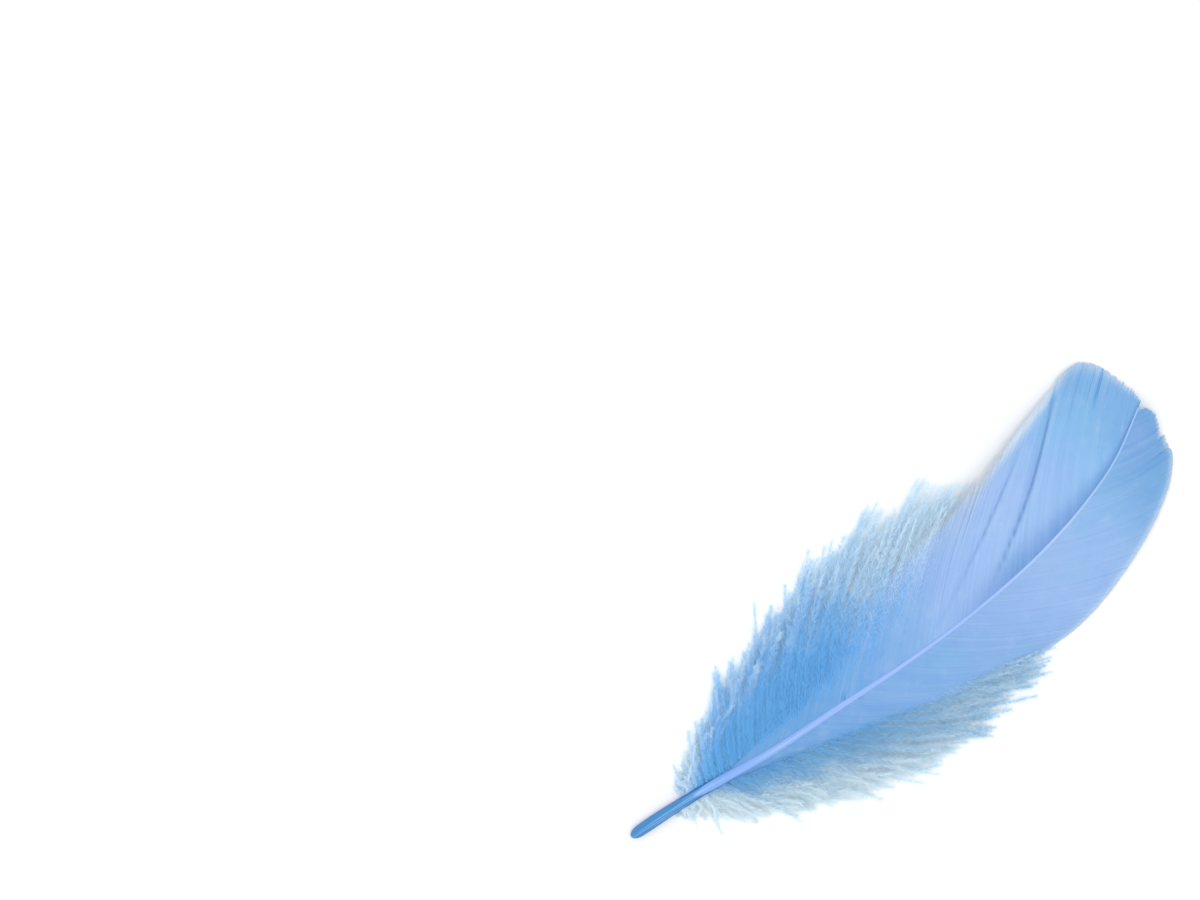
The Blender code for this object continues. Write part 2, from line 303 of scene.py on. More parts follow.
def vane_finish(name, dyes):
    """Colour from the place along the feather, moved by slow noise, with lilac and clear sky
    patches, faint streaks along the barbs and the tint attribute, which holds each barb's own tone,
    the painted shade of the creases and the furrow, and the painted highlight past the creases.
    The bump is the barbules."""
    material, tree, shader = finish_named(name, 0.6)
    place = node(tree, "ShaderNodeTexCoord").outputs["Object"]
    along = node(tree, "ShaderNodeSeparateXYZ", {0: place}).outputs["Y"]
    drift = sum_of(tree, noise(tree, place, 60.0), 0.02, along)
    length = share_of(tree, drift, 0.01 - HALF_LENGTH, 0.01 + HALF_LENGTH)
    colour = ramp(tree, length, [(at / SHAFT_END, dye(*seen)) for at, seen in dyes])
    slow = noise(tree, place, SLOW_PATCHES)
    colour = mixed(tree, share_of(tree, slow, 0.45, 1.65), colour, LILAC)
    colour = mixed(tree, share_of(tree, slow, 0.5, -0.1), colour, CLEAR_SKY)
    patches = noise(tree, place, QUICK_PATCHES, 4.0, 0.6)
    colour = mixed(tree, share_of(tree, patches, 0.55, 2.2), colour, PALE_BARB_AND_PAINTED_HIGHLIGHT)
    colour = mixed(tree, share_of(tree, patches, 0.45, -1.6), colour, DARK_BARB_AND_PAINTED_SHADE)
    barbs = node(tree, "ShaderNodeUVMap", uv_map="along").outputs["UV"]
    stretched = node(tree, "ShaderNodeMapping", {"Vector": barbs, "Scale": (240.0, 3.0, 1.0)})
    streaks = noise(tree, stretched.outputs["Vector"], 1.0, 2.0)
    colour = mixed(tree, share_of(tree, streaks, 0.55, 2.6), colour, PALE_BARB_AND_PAINTED_HIGHLIGHT)
    colour = mixed(tree, share_of(tree, streaks, 0.45, -2.0), colour, DARK_BARB_AND_PAINTED_SHADE)
    # the tint carries painted shade in the creases and the furrow and a painted highlight past the
    # creases, besides each barb's own tone
    tint = node(tree, "ShaderNodeAttribute", attribute_name="tint").outputs["Fac"]
    colour = mixed(tree, share_of(tree, tint, 0.5, 1.0), colour, PALE_BARB_AND_PAINTED_HIGHLIGHT)
    colour = mixed(tree, share_of(tree, tint, 0.5, 0.0), colour, DARK_BARB_AND_PAINTED_SHADE)
    tree.links.new(colour, shader.inputs["Base Color"])
    fine = noise(tree, place, BARBULES, 1.0)
    bump = node(tree, "ShaderNodeBump", {"Height": fine, "Strength": 0.2, "Distance": 0.00004})
    tree.links.new(bump.outputs["Normal"], shader.inputs["Normal"])
    shader.inputs["Sheen Weight"].default_value = 0.03
    shader.inputs["Specular IOR Level"].default_value = 0.15
    return material


right_finish = vane_finish("dyed_right_vane", RIGHT_DYES)
left_finish = vane_finish("dyed_left_vane", LEFT_DYES)
print("finishes:", right_finish.name, left_finish.name)

# %% [markdown]
# ## The vanes, barb by barb
# Each vane is some four hundred barbs hooked side by side, so that it looks closed. It could be
# one sheet with a striped bump, but then its edge would be a clean cut and a raking view would
# show no barbs. Here one function gives the vane's surface from two numbers, the station of
# a barb's root and the share of its length. A barb is a thin three-sided ribbon on that
# surface, its leading edge tucked under the next one, as shingles are laid.

# %% The vanes' surface
RIGHT_VANE = (  # station of a barb's root on the shaft, then x, y and z of the barb's tip
    (24.0, 7.9, 34.0, 1.2), (32.0, 13.0, 47.0, 1.0), (40.0, 17.5, 57.0, 0.9),
    (50.0, 22.0, 69.0, 0.7), (60.0, 25.2, 81.0, 0.5), (70.0, 27.0, 93.0, 0.25),
    (80.0, 27.6, 104.0, 0.15), (90.0, 25.8, 115.0, 0.4), (100.0, 22.6, 125.5, 0.8),
    (108.0, 19.6, 132.5, 0.8), (115.0, 16.4, 138.0, 0.5), (122.0, 12.6, 142.0, 0.15),
    (129.0, 9.0, 143.2, 0.4), (135.0, 5.6, 144.2, 1.2), (140.0, 2.4, 144.9, 2.2),
    (141.8, 0.9, 144.3, 2.8),
)
LEFT_VANE = (
    (24.0, 1.9, 37.0, 1.2), (32.0, -1.2, 51.0, 1.3), (40.0, -4.5, 62.0, 1.6),
    (50.0, -7.8, 76.0, 2.2), (60.0, -9.5, 88.0, 2.9), (70.0, -10.6, 100.0, 3.6),
    (80.0, -12.2, 112.0, 4.0), (90.0, -14.2, 124.0, 3.4), (100.0, -16.3, 135.0, 1.8),
    (108.0, -15.8, 139.2, 0.8), (115.0, -13.5, 141.6, 0.3), (122.0, -10.2, 143.1, 0.15),
    (129.0, -6.8, 144.2, 0.5), (135.0, -3.8, 144.7, 1.4), (140.0, -1.4, 144.5, 2.4),
    (141.8, -1.0, 144.3, 2.8),
)
BARB_BEND = 11.0  # degrees that a barb leaves the shaft more steeply than its chord
BARB_BEND_AT = 0.42  # share of the chord's length at which its curve's handle lies
DROOP = {1: 1.8, -1: 0.9}  # power of the fall from shaft to edge, right and left
CREASES = (  # left vane: station at the shaft and at the edge, bow between, depth, half width
    (89.5, 98.0, 7.5, 0.9, 2.4),
    (74.0, 93.0, 4.0, 0.45, 2.0),
)
DIP_AT = 0.09  # share of a barb at which the furrow beside the shaft is deepest
DIP = 0.12  # the furrow's depth on the right
LEFT_DIP = (0.15, 0.35)  # its depth on the left near the base, and how much more near the tip
LOWEST = 0.08  # no barb is nearer to the surface than this


def bent(root, tip, side, degrees, bend_at, share):
    """Point of a quadratic Bezier curve from root to tip: (1-t)^2 a + 2t(1-t) h + t^2 b.

    The handle h is the root plus the chord turned away from the feather's tip, times bend_at.
    """
    angle = -side * math.radians(degrees)
    c, s = math.cos(angle), math.sin(angle)
    chord = tip - root
    turned = np.stack((chord[..., 0] * c - chord[..., 1] * s, chord[..., 0] * s + chord[..., 1] * c), -1)
    handle = root + bend_at * turned
    t = share[..., None]
    return root * (1 - t) ** 2 + handle * 2 * t * (1 - t) + tip * t**2


def off_crease(crease, station, share):
    """How many stations a place lies past a crease, whose line is
    at_shaft + (at_edge - at_shaft) share + bow sin(pi share)."""
    at_shaft, at_edge, bow = crease[:3]
    line = at_shaft + (at_edge - at_shaft) * share + bow * np.sin(math.pi * np.clip(share, 0, 1))
    return station - line


def crease_bow(share):
    """How much of its depth a crease has along a barb: sin(pi share^0.8)."""
    return np.sin(math.pi * np.clip(share, 0, 1) ** 0.8)


def vane_surface(side, table, station, share):
    """Points of a vane's surface: along a barb it is the bent curve in plan, and its height
    falls as share^droop from the shaft's upper side to the edge, less furrow and creases. The
    furrow is dip x e^(1 - x) with x = share / DIP_AT, a crease depth e^(-(off / width)^2)."""
    root = shaft_points(station)
    root[..., 2] += 0.7 * smooth_through(SHAFT_HALF_WIDTH, station)[..., 0]
    tip = smooth_through(table, station)
    plan = bent(root[..., :2], tip[..., :2], side, BARB_BEND, BARB_BEND_AT, share)
    height = root[..., 2] + (tip[..., 2] - root[..., 2]) * share ** DROOP[side]
    dip = DIP
    if side < 0:
        dip = LEFT_DIP[0] + LEFT_DIP[1] * smooth_step(station, 88.0, 108.0)
    x = share / DIP_AT
    height = height - dip * x * np.exp(1 - x)
    if side < 0:
        for crease in CREASES:
            off = off_crease(crease, station, share)
            height = height - crease[3] * np.exp(-((off / crease[4]) ** 2)) * crease_bow(share)
    return np.concatenate((plan, np.maximum(height, LOWEST)[..., None]), -1)


right_reach, left_reach = max(row[1] for row in RIGHT_VANE), min(row[1] for row in LEFT_VANE)
print("the vanes reach from x", left_reach, "to", right_reach, "mm")

# %% [markdown]
# The barbs of a worn feather part here and there. They are shared out into clumps whose tips
# lean together, and where two clumps part, a small notch opens at the edge. At the feather's tip
# the clumps are short and end at different lengths, which makes its fine teeth. The left vane's
# edge is loose towards the base: its barbs thin out, fade and end where they like. Both vanes
# begin at the base with thin barbs of uneven length, which the down covers in part.

# %% Barbs laid on the surface
BARBS = 420
BARB_RINGS = 22
RING_POWER = 1.15  # above one, so a barb's rings lie a little closer near the shaft
ACROSS = (-0.2, 0.35, 1.25)  # a barb's trailing edge, ridge and leading edge, in spacings
END_PAST, END_ACROSS = 0.012, 0.3  # its end point: share past the last ring, spacings across
CLUMP, TIP_CLUMP = 14.0, 6.0  # barbs in a clump, and in one near the tip
TEETH_FROM = 126.0
SOFT_BELOW = 90.0  # the left vane's edge is loose below this station
BASAL = (52.0, 32.0)  # both edges loosen between these stations
UNEVEN = (42.0, 24.0)  # and between these their barbs get shorter at random
FADES_IN, FADES_OUT = (50.0, 62.0), (108.0, 90.0)  # the left edge is palest between these
# how dark the painted shade is in the left furrow beside the shaft
FURROW_PAINTED_SHADE = 0.26
RIDGE = 0.022  # how far a barb's back stands above its edges
TUCK = 0.045  # how far its leading edge lies under the next barb
FOLD_LIFT = 0.22  # how far the barbs past a crease lie over those before it
LEAN = {1: 0.04, -1: 0.06}  # share of the way that a tip leans to its clump's middle
NICK_AT = 131.0  # the right edge is inset past this station
MARKS = {  # darker marks: station, half width, from and to which share, how dark
    1: ((56.0, 0.5, 0.0, 0.05, 0.1),),
    -1: (
        (119.5, 0.6, 0.76, 1.0, 0.26), (110.5, 0.45, 0.7, 1.0, 0.12),
        (53.3, 0.22, -0.02, 0.05, 0.5), (52.6, 0.2, 0.02, 0.08, 0.4),
    ),
}


def clumps(rng, stations, long, short):
    """The clump each barb belongs to, its clump's middle station and where it lies in it, 0 to 1.

    Clumps are about long barbs wide, and about short ones from TEETH_FROM on, but never under
    three.
    """
    number = np.zeros(len(stations), int)
    start, clump = 0, 0
    while start < len(stations):
        size = max(3, int(rng.normal(short if stations[start] > TEETH_FROM else long, 1.5)))
        number[start:start + size] = clump
        start, clump = start + size, clump + 1
    counts = np.bincount(number)
    middle = (np.bincount(number, stations) / counts)[number]
    first = np.searchsorted(number, np.arange(clump))
    inside = (np.arange(len(stations)) - first[number] + 0.5) / counts[number]
    return number, middle, inside


def near_tip(stations):
    """0 on the plain vane and 1 among the teeth of the tip."""
    return smooth_step(stations, TEETH_FROM - 6.0, TEETH_FROM + 8.0)


def shortening(rng, side, stations, number, inside, loose):
    """Which share of each barb is missing at its end: a little everywhere, more between teeth
    and at the base, in the nick of the right edge, before the main crease and where the left
    edge is loose."""
    teeth = near_tip(stations) * (0.5 if side > 0 else 1.0)
    clump_short = rng.uniform(0.0, 1.0, number.max() + 1)[number]
    short = 0.003 * rng.uniform(0, 1, len(stations)) + (0.004 + 0.02 * teeth) * clump_short
    short = short + (0.001 + 0.05 * teeth) * np.abs(2 * inside - 1) ** 1.5
    uneven = 0.35 * smooth_step(stations, *UNEVEN)
    short = short + uneven * rng.uniform(0, 1, len(stations)) ** 1.3
    if side > 0:
        past = stations - NICK_AT
        return short + 0.08 * (past > 0) * np.exp(-np.maximum(past, 0) / 2.5)
    before = CREASES[0][1] - stations
    short = short + 0.03 * (before > 0) * np.exp(-np.maximum(before, 0) / 6.0)
    return short + 0.1 * loose * rng.uniform(0, 1, len(stations)) ** 2


def barb_tint(side, stations, own, share, loose):
    """Paler towards each barb's end, most where the left edge fades, and darker in the marks.
    Painted shade darkens the creases and, on the left, the furrow beside the shaft, and a painted
    highlight lightens the barbs just past each crease."""
    faded = (side < 0) * smooth_step(stations, *FADES_IN) * smooth_step(stations, *FADES_OUT)
    faded = faded[:, None]
    tint = (0.28 + 0.34 * faded) * smooth_step(own, 0.93 - 0.1 * faded, 1.0)
    tint = tint + 0.16 * loose[:, None] * smooth_step(own, 0.5, 1.0)
    for at, half_width, begin, end, dark in MARKS[side]:
        within = smooth_step(share, begin, begin + 0.05) * smooth_step(share, end + 0.05, end)
        tint = tint - dark * np.exp(-(((stations[:, None] - at) / half_width) ** 2)) * within
    if side < 0:
        # painted shade: the left furrow beside the shaft is darkened in colour towards the tip
        painted_furrow_shade = FURROW_PAINTED_SHADE * smooth_step(stations, 78.0, 98.0)[:, None]
        tint = tint - painted_furrow_shade * smooth_step(share, 0.25, 0.0)
        # painted shade along each crease's line, and a weaker painted highlight on the barbs just past
        # it
        for crease, begin, end, dark in zip(CREASES, (0.08, 0.28), (1.0, 0.72), (0.2, 0.15)):
            off = off_crease(crease, stations[:, None], share)
            within = smooth_step(share, begin, begin + 0.2) * smooth_step(share, end + 0.1, end - 0.1)
            tint = tint - dark * np.exp(-((off / 0.7) ** 2)) * within
            tint = tint + 0.3 * dark * np.exp(-(((off - 2.2) / 1.4) ** 2)) * within
    return tint


def fold(stations, share):
    """Height that the folds of the creases add: up just past a crease and down just before it,
    as tanh(off / 0.35) e^(-|off| / 3)."""
    height = 0.0
    for crease in CREASES:
        off = off_crease(crease, stations[:, None], share)
        step = np.tanh(off / 0.35) * np.exp(-np.abs(off) / 3.0)
        height = height + FOLD_LIFT * crease[3] * step * crease_bow(share)
    return height


def vane_barbs(name, side, table, finish, seed):
    """One vane as closed ribbons, each three points wide on the vane's surface and narrower
    towards its end: width 1 - (1 - end width) smooth_step(own, narrow from, 1)."""
    rng = np.random.default_rng(seed)
    stations = np.linspace(table[0][0], table[-1][0], BARBS)
    spacing = stations[1] - stations[0]
    number, middle, inside = clumps(rng, stations, CLUMP, TIP_CLUMP)
    loose = smooth_step(stations, SOFT_BELOW, SOFT_BELOW - 10.0) * (side < 0)
    loose = np.maximum(loose, smooth_step(stations, *BASAL))
    short = shortening(rng, side, stations, number, inside, loose)

    own = (np.linspace(0, 1, BARB_RINGS) ** RING_POWER)[None, :]
    share = own * (1 - short)[:, None]
    pull = (LEAN[side] + 0.12 * near_tip(stations)) * (middle - stations)
    lean = pull[:, None] * smooth_step(share, 0.6, 1.0)
    wander = rng.normal(0, 0.03 + 0.08 * loose, BARBS)[:, None] * share**2
    lift = (rng.normal(0, 0.012, BARBS) * (1 + 3 * loose))[:, None] * share
    if side < 0:
        lift = lift + fold(stations, share)
    narrow_from = (0.94 - 0.14 * loose)[:, None]
    end_width = (0.8 - 0.5 * loose)[:, None]
    narrow = 1 - (1 - end_width) * smooth_step(own, narrow_from, 1.0)
    up = np.array((0.0, RIDGE, -TUCK))
    along = np.broadcast_to(share[..., None], (*share.shape, len(ACROSS)))
    around = (stations[:, None] + lean + wander)[..., None]
    around = around + np.array(ACROSS) * spacing * narrow[..., None]
    points = vane_surface(side, table, around, along)
    points[..., 2] = np.maximum(points[..., 2] + lift[..., None] + up, LOWEST / 2 + up - up.min())

    end_share = share[:, -1] + END_PAST
    end_station = stations + (lean + wander)[:, -1] + END_ACROSS * spacing
    ends = vane_surface(side, table, end_station, end_share)
    ends[:, 2] = np.maximum(ends[:, 2] + lift[:, -1], LOWEST)
    uv = np.stack((np.broadcast_to(stations[:, None, None], along.shape) / SHAFT_END, along), -1)
    end_uv = np.stack((stations / SHAFT_END, end_share), -1)
    tint = 0.5 + rng.normal(0, 0.018, BARBS) + rng.normal(0, 0.012, number.max() + 1)[number]
    tint = tint[:, None] + barb_tint(side, stations, own, share, loose)
    mesh_piece(
        name,
        np.concatenate((points.reshape(-1, 3), ends)),
        strand_faces(BARBS, BARB_RINGS, len(ACROSS)),
        np.concatenate((uv.reshape(-1, 2), end_uv)),
        np.concatenate((np.repeat(tint.ravel(), len(ACROSS)), tint[:, -1])),
        finish,
    )


vane_barbs("right_vane_barbs", 1, RIGHT_VANE, right_finish, 11)
vane_barbs("left_vane_barbs", -1, LEFT_VANE, left_finish, 12)

# %% [markdown]
# ## The quill and the shaft
# The quill is a bare glossy tube, dyed deep blue. From the first barbs on, the shaft is filled
# with pale pith that shows on its back as a wedge, and the blue stays on its sides a while.
# A tube could be a curve with a bevel. Here it is rings of points along the line, which
# can be flat below, where the quill lies on the surface, and closed at both ends.

# %% The quill's finish
QUILL_BLUE = dye(44, 142, 212)
# deeper blue: painted shade on the quill's sides, and its darker dye streaks
QUILL_DARK_STREAKS_AND_SIDE_SHADE = dye(26, 98, 180)
# colour of the painted highlight streaks along the quill's back
PAINTED_QUILL_HIGHLIGHT = dye(170, 210, 246)
PITH_BASE = dye(128, 178, 252)
PITH = dye(148, 186, 253)
PITH_PALE = dye(176, 210, 255)
PITH_TIP = dye(150, 198, 248)
PITH_FROM = 16.4 / SHAFT_END  # share of the length at which the pith's wedge begins
PITH_COLOURS = (
    (0.15, PITH_BASE), (0.35, PITH), (0.62, PITH), (0.8, PITH_PALE), (0.92, PITH_TIP),
)


def quill_finish():
    """Deep blue that gives way to pale pith from PITH_FROM on: first on the back, where the
    v of the UV map is 0.5, and up to 9 mm later on the sides. The blue has painted shade on the
    tube's sides and a painted highlight in streaks along its back."""
    material, tree, shader = finish_named("dyed_quill", 0.32)
    uv = node(tree, "ShaderNodeUVMap", uv_map="along").outputs["UV"]
    parts = node(tree, "ShaderNodeSeparateXYZ", {0: uv}).outputs
    stretched = node(tree, "ShaderNodeMapping", {"Vector": uv, "Scale": (9.0, 30.0, 1.0)})
    streaks = noise(tree, stretched.outputs["Vector"], 1.0, 4.0)
    off_back = node(tree, "ShaderNodeMath", {0: parts["Y"], 1: 0.5}, operation="SUBTRACT").outputs[0]
    off_back = node(tree, "ShaderNodeMath", {0: off_back}, operation="ABSOLUTE").outputs[0]
    # painted shade: the blue deepens on the tube's sides, away from its back; the next line adds darker
    # dye streaks at random
    blue = mixed(tree, share_of(tree, off_back, 0.1, 0.24), QUILL_BLUE, QUILL_DARK_STREAKS_AND_SIDE_SHADE)
    blue = mixed(tree, share_of(tree, streaks, 0.5, 0.2), blue, QUILL_DARK_STREAKS_AND_SIDE_SHADE)
    # painted highlight: pale streaks along the tube's back, where off_back is small
    fine = node(tree, "ShaderNodeMapping", {"Vector": uv, "Scale": (7.0, 55.0, 1.0)})
    painted_highlight = noise(tree, fine.outputs["Vector"], 1.0, 2.0)
    painted_highlight = sum_of(tree, off_back, -0.5, painted_highlight)
    blue = mixed(tree, share_of(tree, painted_highlight, 0.54, 0.62), blue, PAINTED_QUILL_HIGHLIGHT)
    reached = sum_of(tree, share_of(tree, off_back, 0.06, 0.3), -0.06, parts["X"])
    reached = sum_of(tree, streaks, 0.03, reached)
    pith = ramp(tree, parts["X"], PITH_COLOURS)
    pith = mixed(tree, share_of(tree, streaks, 0.45, 0.8), pith, PITH_PALE)
    colour = mixed(tree, share_of(tree, reached, PITH_FROM + 0.01, PITH_FROM + 0.02), blue, pith)
    tree.links.new(colour, shader.inputs["Base Color"])
    rings = node(tree, "ShaderNodeMapping", {"Vector": uv, "Scale": (230.0, 1.5, 1.0)})
    ringed = noise(tree, rings.outputs["Vector"], 1.0, 1.0)
    bump = node(tree, "ShaderNodeBump", {"Height": ringed, "Strength": 0.3, "Distance": 0.0001})
    tree.links.new(bump.outputs["Normal"], shader.inputs["Normal"])
    shader.inputs["Coat Weight"].default_value = 0.25
    shader.inputs["Coat Roughness"].default_value = 0.2
    return material


quill_dye = quill_finish()
print("pith begins", round(PITH_FROM * SHAFT_END, 1), "mm from the quill's end:", quill_dye.name)

# %% The quill and shaft as one tube
TUBE_RINGS = 240
END_RINGS = 16  # of them, those on the rounded end
TUBE_SIDES = 24
FIRST_RING = 0.012  # how far from the very end the first ring lies


def quill_and_shaft(finish):
    """Rings at angles a along the centre line: width w cos a across and w sin a up, cut off at
    the surface below. Near the start w is scaled by sqrt(1 - ((END_ROUND - s) / END_ROUND)^2),
    a quarter of an ellipse, and the rings lie closer."""
    station = np.concatenate((
        FIRST_RING + (END_ROUND - FIRST_RING) * np.linspace(0, 1, END_RINGS, endpoint=False) ** 2,
        np.linspace(END_ROUND, SHAFT_END, TUBE_RINGS - END_RINGS),
    ))
    centre = shaft_points(station)
    width = smooth_through(SHAFT_HALF_WIDTH, station)[:, 0]
    width = width * np.sqrt(1 - np.clip((END_ROUND - station) / END_ROUND, 0, 1) ** 2)
    heading = np.gradient(centre[:, :2], station, axis=0)
    across = unit(np.stack((heading[:, 1], -heading[:, 0], 0 * station), -1))
    turn = np.arange(TUBE_SIDES) / TUBE_SIDES
    angle = 2 * math.pi * turn - math.pi / 2
    points = centre[:, None] + across[:, None] * (width[:, None] * np.cos(angle))[..., None]
    points[..., 2] += width[:, None] * np.sin(angle)
    points[..., 2] = np.maximum(points[..., 2], 0.0)
    end = centre[-1] + (centre[-1] - centre[-2]) * 0.8
    uv = np.stack(np.broadcast_arrays(station[:, None] / SHAFT_END, turn[None]), -1)
    mesh_piece(
        "quill_and_shaft",
        np.concatenate((points.reshape(-1, 3), end[None])),
        strand_faces(1, TUBE_RINGS, TUBE_SIDES),
        np.concatenate((uv.reshape(-1, 2), ((1.0, 0.5),))),
        np.full(TUBE_RINGS * TUBE_SIDES + 1, 0.5),
        finish,
        around=True,
    )


quill_and_shaft(quill_dye)

# %% [markdown]
# ## The down
# Round the base the barbs have no hooks. Each is a soft thread with hundreds of loose hairs, and
# they gather in locks. A particle system would grow them in one click, but it is lost in an
# export. So the threads are bent curves like the barbs of the vanes, and each hair is the
# smallest closed shape there is, a spike with four faces.

# %% The down's finish
def down_finish(name, at_root, between, at_end):
    """From the colour of the roots over one between to the ends, by the attribute tint."""
    material, tree, shader = finish_named(name, 0.75)
    place = node(tree, "ShaderNodeTexCoord").outputs["Object"]
    tint = node(tree, "ShaderNodeAttribute", attribute_name="tint").outputs["Fac"]
    moved = sum_of(tree, noise(tree, place, 180.0), 0.3, tint)
    moved = share_of(tree, moved, 0.15, 1.15)
    colour = ramp(tree, moved, ((0.1, at_root), (0.55, between), (0.95, at_end)))
    tree.links.new(colour, shader.inputs["Base Color"])
    shader.inputs["Sheen Weight"].default_value = 0.1
    shader.inputs["Specular IOR Level"].default_value = 0.15
    return material


LEFT_ROOTS = (0.17, 0.52, 0.9, 1.0)  # straight linear values, bluer than the right down's
LEFT_BETWEEN = (0.2, 0.57, 0.97, 1.0)
LEFT_ENDS = (0.67, 0.86, 1.0, 1.0)
RIGHT_ENDS = (0.76, 0.9, 0.97, 1.0)
right_down_dye = down_finish("dyed_right_down", dye(112, 190, 252), dye(152, 212, 252), RIGHT_ENDS)
left_down_dye = down_finish("dyed_left_down", LEFT_ROOTS, LEFT_BETWEEN, LEFT_ENDS)
print("finishes:", right_down_dye.name, left_down_dye.name)

# %% [markdown]
# A thread of down wavers and hangs a little, because nothing holds it straight. Curves could be
# drawn by hand one by one. A formula with a few random numbers for each thread makes them all
# different, and the same ones each time, since the random numbers start from a seed.

# %% Threads of the down
RIGHT_DOWN = (  # station of a thread's root, then x and y of its tip
    (15.5, 4.2, 10.4), (16.6, 7.6, 15.2), (18.5, 13.2, 21.6), (22.0, 18.8, 30.0), (27.0, 24.0, 40.0),
    (33.0, 29.0, 51.0), (39.0, 32.4, 62.0), (45.0, 34.0, 73.0), (51.0, 33.4, 84.0),
    (57.0, 31.4, 93.5), (62.0, 30.2, 97.5), (66.0, 28.6, 101.0),
)
LEFT_DOWN = (
    (15.5, -3.0, 15.5), (18.0, -7.6, 23.0), (22.0, -12.2, 33.5), (27.0, -16.0, 45.0),
    (33.0, -19.0, 57.0), (39.0, -21.2, 69.0), (45.0, -22.2, 80.0), (51.0, -21.4, 90.0),
    (57.0, -18.6, 98.0), (63.0, -15.4, 102.5), (69.0, -13.2, 106.5),
)
LOCKS = 14
THREADS_A_LOCK = 11
THREAD_RINGS = 14
THREAD_ROOT, THREAD_END = 0.09, 0.012  # radius of a thread
THREAD_BEND = 14.0  # as BARB_BEND
THREAD_BEND_AT = 0.45
THREAD_LOWEST = 0.14  # no thread's line is nearer to the surface than this
SHORT_LOCK = 0.94  # every other lock is this much shorter
HEADING_STEP = 0.01  # share over which a thread's heading is measured
UP = np.array((0.0, 0.0, 1.0))


def thread_lines(rng, table, side, below, sag, end_height, reach):
    """Stations of the threads' roots, and a function for the points of the threads.

    The threads of a lock begin spread out and end closer together. Each reaches its own share
    of the way to the table's tips.
    """
    first, last = table[0][0], table[-1][0]
    lock = np.linspace(first + 0.5, last, LOCKS)
    half_gap = (lock[1] - lock[0]) / 2
    spread = np.linspace(-1, 1, THREADS_A_LOCK)[None] + rng.normal(0, 0.1, (LOCKS, THREADS_A_LOCK))
    station = np.clip((lock[:, None] + spread * half_gap * 1.1).ravel(), first, last)
    tip_station = np.clip((lock[:, None] + spread * half_gap * 0.85).ravel(), first, last)
    own = reach * np.where(np.arange(LOCKS) % 2, SHORT_LOCK, 1.0)[:, None]
    own = own * (1 - 0.1 * np.abs(spread) ** 1.5) - rng.uniform(0, 0.1, spread.shape)
    own = own.ravel()[:, None]
    root = shaft_points(station) - below * UP
    tip = root[:, :2] + (smooth_through(table, tip_station) - root[:, :2]) * own
    end_z = end_height * rng.uniform(0.5, 1.6, len(station))
    if side < 0:
        end_z = end_z + 0.06 * np.maximum(station - 45.0, 0.0)
    phase = rng.uniform(0, 2 * math.pi, (len(station), 1))
    swing = rng.uniform(0.3, 1.3, (len(station), 1))
    turn = rng.normal(0, 1.6, (len(station), 1))

    def thread(share):
        """Points of each thread at its own row of shares: a bent curve that wavers sideways by
        turn share^2 + swing share sin(phase + 6 share) and hangs by sag sin(pi share)."""
        plan = bent(root[:, None, :2], tip[:, None], side, THREAD_BEND, THREAD_BEND_AT, share)
        heading = unit(tip - root[:, :2])
        waver = turn * share**2 + swing * share * np.sin(phase + 6.0 * share)
        plan = plan + np.stack((heading[:, None, 1], -heading[:, None, 0]), -1) * waver[..., None]
        height = root[:, 2:3] + (end_z[:, None] - root[:, 2:3]) * share
        height = height - sag * np.sin(math.pi * np.clip(share, 0, 1))
        return np.concatenate((plan, np.maximum(height, THREAD_LOWEST)[..., None]), -1)

    return station, thread


def three_round(first, second):
    """Three directions a third of a turn apart: first cos a + second sin a."""
    angle = 2 * math.pi * np.arange(3) / 3 + math.pi / 2
    return first[:, :, None] * np.cos(angle)[:, None] + second[:, :, None] * np.sin(angle)[:, None]


def thread_tubes(thread, threads):
    """Points of a three-sided tube along each thread, then their end points, and the tints."""
    share = np.broadcast_to(np.linspace(0, 1, THREAD_RINGS), (threads, THREAD_RINGS))
    centre = thread(share)
    heading = unit(thread(share + HEADING_STEP) - centre)
    across = unit(np.cross(heading, UP))
    radius = THREAD_ROOT + (THREAD_END - THREAD_ROOT) * share
    round_it = three_round(across, np.cross(across, heading))
    rings = centre[:, :, None] + radius[..., None, None] * round_it
    ends = thread(np.full((threads, 1), 1.02))[:, 0]
    tint = np.concatenate((np.repeat(share.ravel(), 3), np.ones(threads)))
    return np.concatenate((rings.reshape(-1, 3), ends)), tint


print("threads in a layer of down:", LOCKS * THREADS_A_LOCK)

# %% [markdown]
# On the real thread hairs stand all along both sides, finer and more of them than a mesh can
# hold. Some three hundred on each, a little thicker than real ones, close the gaps as well.
# A copy of one hair for each would repeat, so all are worked out at once, a row for each thread.

# %% Hairs of the down
HAIRS_A_THREAD = 298
HAIR_LENGTH = (1.0, 2.9)  # the shortest and the longest
HAIR_LOWEST = 0.05  # no hair's end is nearer to the surface than this
DOWN_PIECES = (  # name, tips, side, seed; roots below the shaft, sag, end height, reach, hair radius
    ("right_down_low", RIGHT_DOWN, 1, 21, 0.6, 0.5, 0.5, 1.0, 0.045),
    ("right_down_high", RIGHT_DOWN, 1, 22, 0.2, 0.2, 1.5, 0.9, 0.032),
    ("left_down_low", LEFT_DOWN, -1, 23, 0.6, 0.5, 0.5, 1.0, 0.045),
    ("left_down_high", LEFT_DOWN, -1, 24, 0.1, 0.2, 1.6, 0.9, 0.032),
)


def hair_share(side, station, at):
    """Which share of its length a hair has: less at a thread's root and end, on the threads by
    the quill, and on those furthest from it on the right."""
    along = (1 - 0.4 * smooth_step(at, 0.6, 1.0)) * (0.45 + 0.55 * smooth_step(at, 0.0, 0.2))
    by_quill = 0.5 + 0.5 * smooth_step(station, 16.0, 26.0)
    furthest = 1 - 0.35 * (side > 0) * smooth_step(station, 50.0, 64.0)
    return along * (by_quill * furthest)[:, None]


